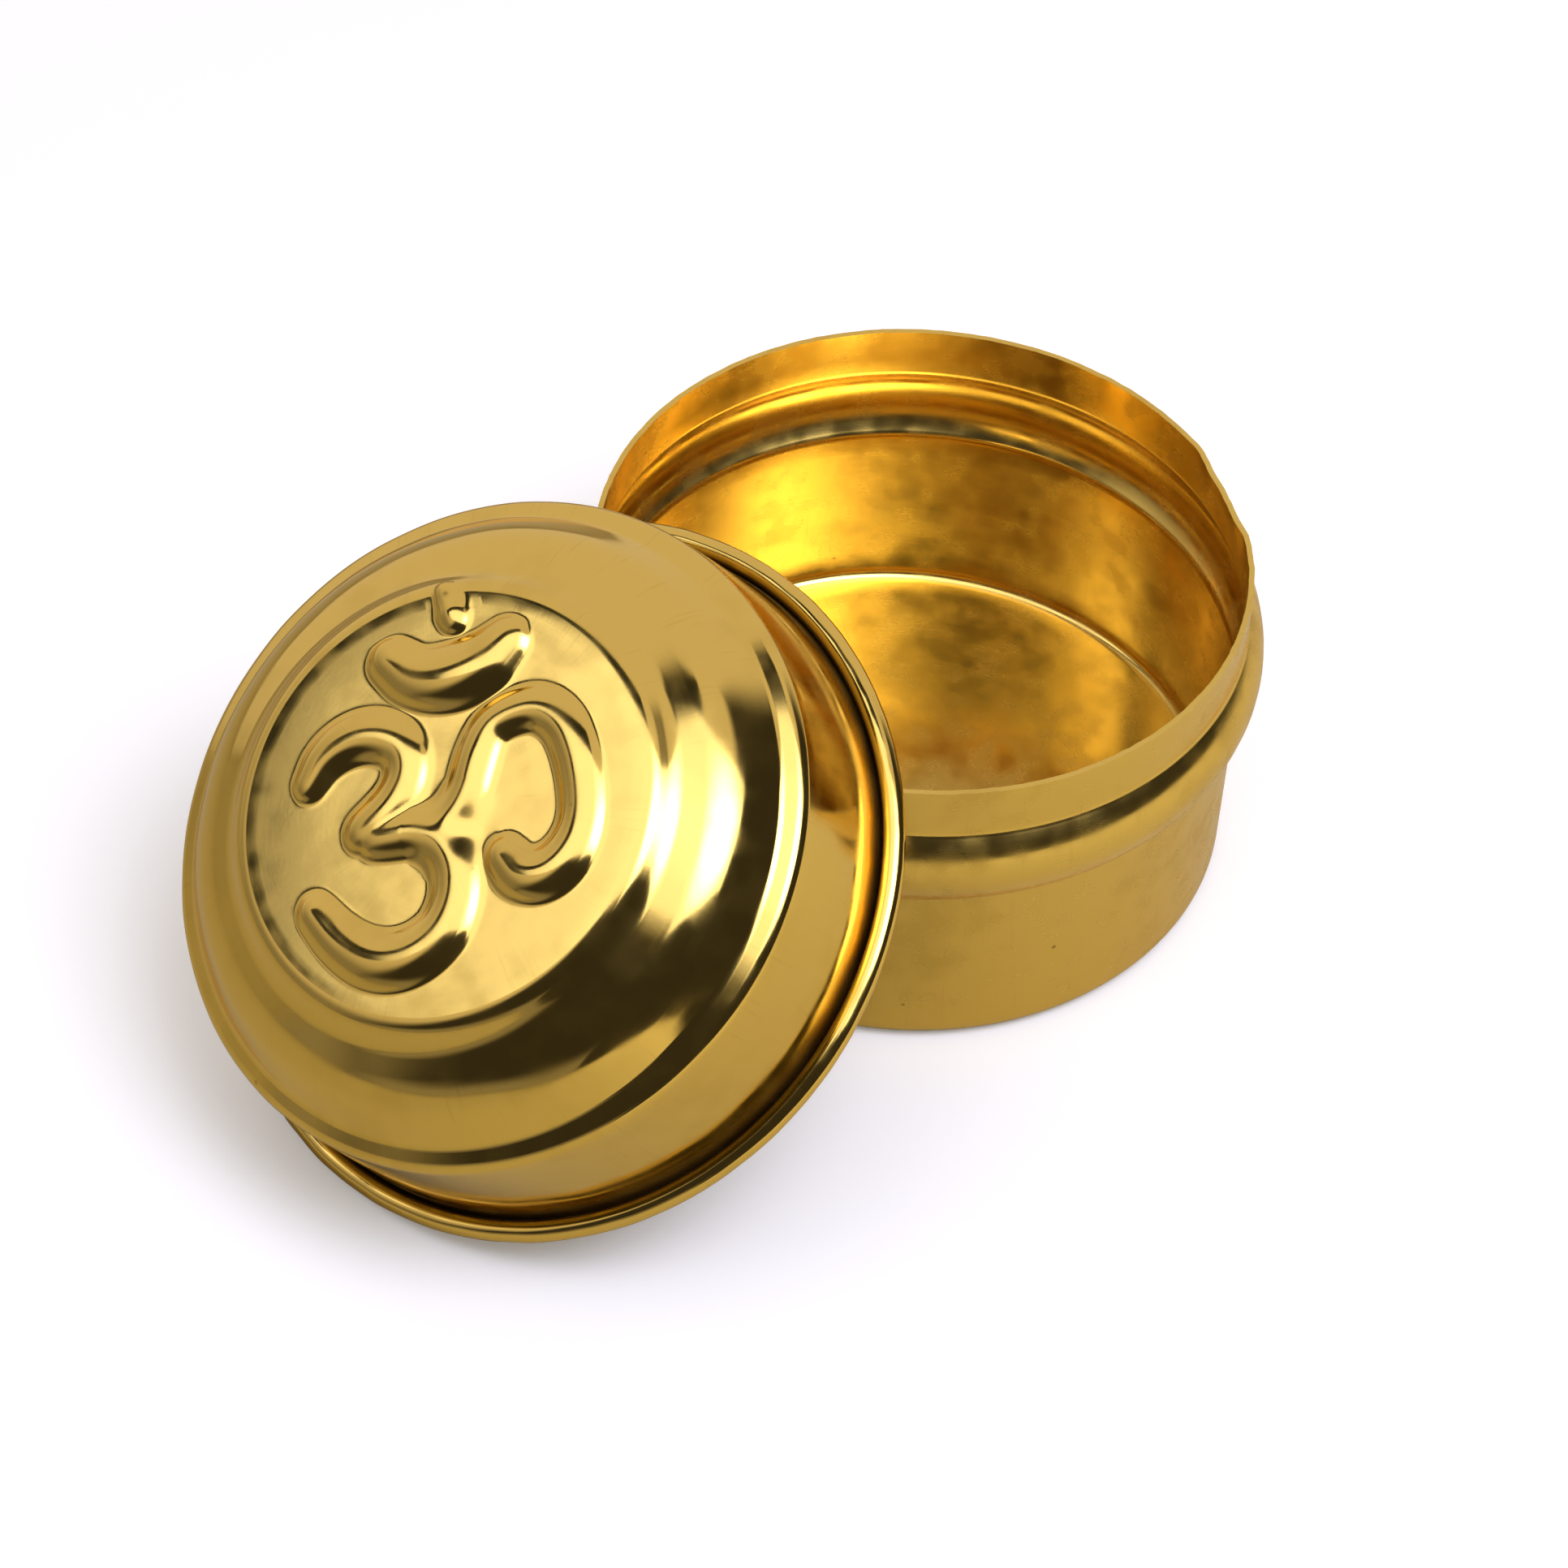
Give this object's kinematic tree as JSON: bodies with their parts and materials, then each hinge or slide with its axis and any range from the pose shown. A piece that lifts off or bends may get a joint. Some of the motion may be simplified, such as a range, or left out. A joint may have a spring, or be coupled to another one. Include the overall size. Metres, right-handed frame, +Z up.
{
  "type": "kumkum box",
  "caption": "Small round brass box for kumkum powder: a drawn cup with a beaded wall, and a loose stepped lid with a raised Om sign, leaning open on the cup.",
  "frame": {"origin": "centre of the cup's flat base, on the surface that it stands on", "axes": "+Z up along the cup's axis; the lid leans on the cup from the -X side; +Y completes a right-handed frame"},
  "size_m": [0.0859, 0.0528, 0.0397],
  "materials": {
    "cup_brass": "polished, lightly scratched and worn",
    "lid_brass": "polished, with tarnish in the grooves"
  },
  "bodies": {
    "cup": {"cup": "cup_brass"},
    "lid": {"lid": "lid_brass"}
  },
  "joints": [
    {"name": "lid_lift", "type": "slide", "parent": "cup", "child": "lid", "axis": [0, 0, 1], "range_m": [0, 0.04]}
  ]
}
